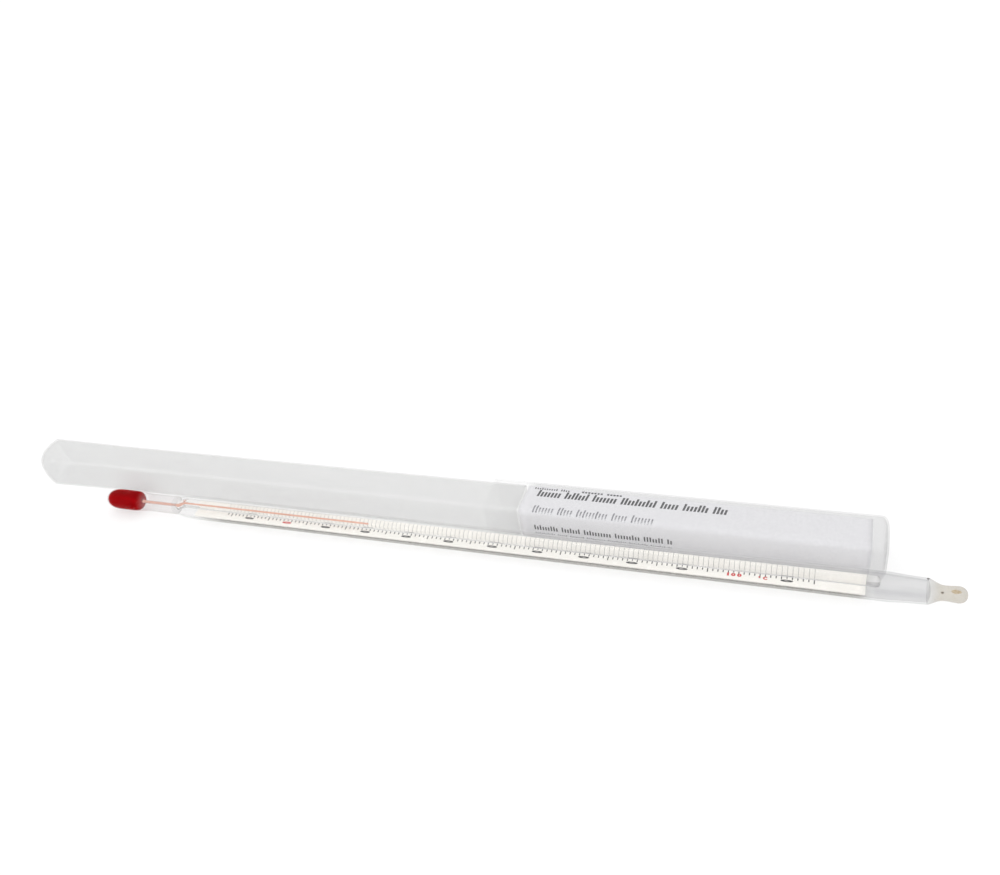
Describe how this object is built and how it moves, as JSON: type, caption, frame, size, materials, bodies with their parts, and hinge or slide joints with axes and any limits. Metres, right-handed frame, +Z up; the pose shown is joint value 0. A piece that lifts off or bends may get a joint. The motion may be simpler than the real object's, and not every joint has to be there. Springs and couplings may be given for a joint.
{
  "type": "darkroom thermometer",
  "caption": "Enclosed-scale glass thermometer with a red filling, lying beside its clear square telescoping storage case with a folded paper label in the cap.",
  "frame": {"origin": "centre of the bounding box at the surface that the thermometer and its case lie on", "axes": "+X along the case from its closed body end to its cap end, +Y from the thermometer towards the case, +Z up"},
  "size_m": [0.2926, 0.0216, 0.0123],
  "materials": {
    "clear_glass": "polished, clear",
    "red_liquid": "wet, deep red",
    "milk_glass": "opal, ivory white, printed",
    "clear_plastic": "clear, slightly cloudy",
    "label_paper": "matt white"
  },
  "bodies": {
    "storage_body": {"case_body": "clear_plastic"},
    "storage_cap": {"case_cap": "clear_plastic", "label_insert": "label_paper"},
    "thermometer": {"bulb_shell": "clear_glass", "bulb_liquid": "red_liquid", "sheath_tube": "clear_glass", "end_seal": "clear_glass", "capillary_tube": "clear_glass", "liquid_step": "red_liquid", "scale_plate": "milk_glass"},
    "reading": {"meniscus": "red_liquid", "liquid_column": "red_liquid"}
  },
  "joints": [
    {"name": "cap_slide", "type": "slide", "parent": "storage_body", "child": "storage_cap", "axis": [1, 0, 0], "range_m": [0, 0.06]},
    {"name": "thermometer_lift", "type": "slide", "parent": "storage_body", "child": "thermometer", "axis": [0, 0, 1], "range_m": [0, 0.06]},
    {"name": "column_rise", "type": "slide", "parent": "thermometer", "child": "reading", "axis": [1, 0.0052, 0], "range_m": [-0.0415, 0.12], "deforming": ["liquid_column"]}
  ]
}
